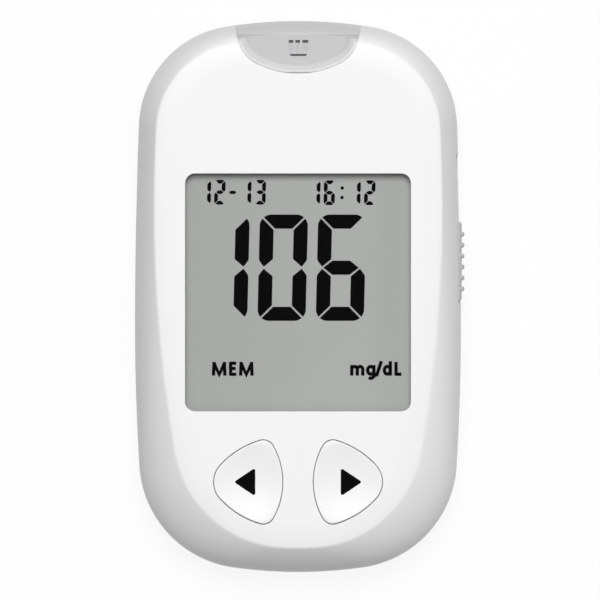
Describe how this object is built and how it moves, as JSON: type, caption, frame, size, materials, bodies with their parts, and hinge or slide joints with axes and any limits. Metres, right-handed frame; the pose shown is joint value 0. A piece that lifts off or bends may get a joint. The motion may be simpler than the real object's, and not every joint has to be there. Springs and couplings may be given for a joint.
{
  "type": "blood glucose meter",
  "caption": "Handheld blood glucose meter: rounded two-part casing with a segment display, arrow keys, a test strip port at one end and a sliding strip ejector on its side.",
  "frame": {"origin": "middle of the bounding box on the table, under the four feet", "axes": "+Z out of the display, +Y along the length towards the test strip port, +X towards the ejector side"},
  "size_m": [0.0574, 0.096, 0.0226],
  "materials": {
    "white_casing": "satin white moulded plastic",
    "rear_casing": "fine-textured off-white moulded plastic",
    "key_white": "smooth white moulded plastic",
    "port_grey": "smooth light grey moulded plastic",
    "clear_window": "clear polished window",
    "lcd": "grey reflective segment display glass",
    "foam": "dark soft foam",
    "frame_plastic": "natural white moulded plastic",
    "elastomer": "striped conductive elastomer",
    "black_plastic": "black moulded plastic",
    "gold_contact": "gold-plated leaves",
    "switch_can": "stamped bright steel",
    "spring_steel": "nickel-plated spring steel",
    "screw_steel": "zinc-plated steel",
    "board": "green solder-masked laminate",
    "component": "ceramic and metal components",
    "cell_jacket": "plain printed battery jacket with bright ends",
    "foot_rubber": "matt grey rubber"
  },
  "bodies": {
    "casing": {"front_shell": "white_casing", "rear_shell": "rear_casing", "display_window": "clear_window", "dust_gasket": "foam", "lcd_glass": "lcd", "lcd_frame": "frame_plastic", "elastomer_strip": "elastomer", "strip_port_insert": "port_grey", "strip_connector": "black_plastic", "strip_contacts": "gold_contact", "left_switch": "switch_can", "right_switch": "switch_can", "ejector_spring": "spring_steel", "circuit_board": "board", "controller_chip": "black_plastic", "board_components": "component", "buzzer": "black_plastic", "left_cell": "cell_jacket", "right_cell": "cell_jacket", "cell_link": "spring_steel", "link_spring": "spring_steel", "positive_contact": "spring_steel", "negative_contact": "spring_steel", "negative_spring": "spring_steel", "case_screws": "screw_steel", "rubber_feet": "foot_rubber"},
    "left_key_body": {"left_key": "key_white", "left_plunger": "black_plastic"},
    "right_key_body": {"right_key": "key_white", "right_plunger": "black_plastic"},
    "ejector": {"ejector_slider": "key_white", "ejector_fork": "frame_plastic"},
    "door": {"battery_door": "rear_casing"}
  },
  "joints": [
    {"name": "left_key_press", "type": "slide", "parent": "casing", "child": "left_key_body", "axis": [0, 0, -1], "range_m": [0, 0.0005], "stiffness_N_per_m": 800, "springref_m": -0.0005},
    {"name": "right_key_press", "type": "slide", "parent": "casing", "child": "right_key_body", "axis": [0, 0, -1], "range_m": [0, 0.0005], "stiffness_N_per_m": 800, "springref_m": -0.0005},
    {"name": "ejector_slide", "type": "slide", "parent": "casing", "child": "ejector", "axis": [0, 1, 0], "range_m": [0, 0.011], "stiffness_N_per_m": 60, "springref_m": -0.003, "deforming": ["ejector_spring"]},
    {"name": "door_slide", "type": "slide", "parent": "casing", "child": "door", "axis": [0, -1, 0], "range_m": [0, 0.008]}
  ]
}
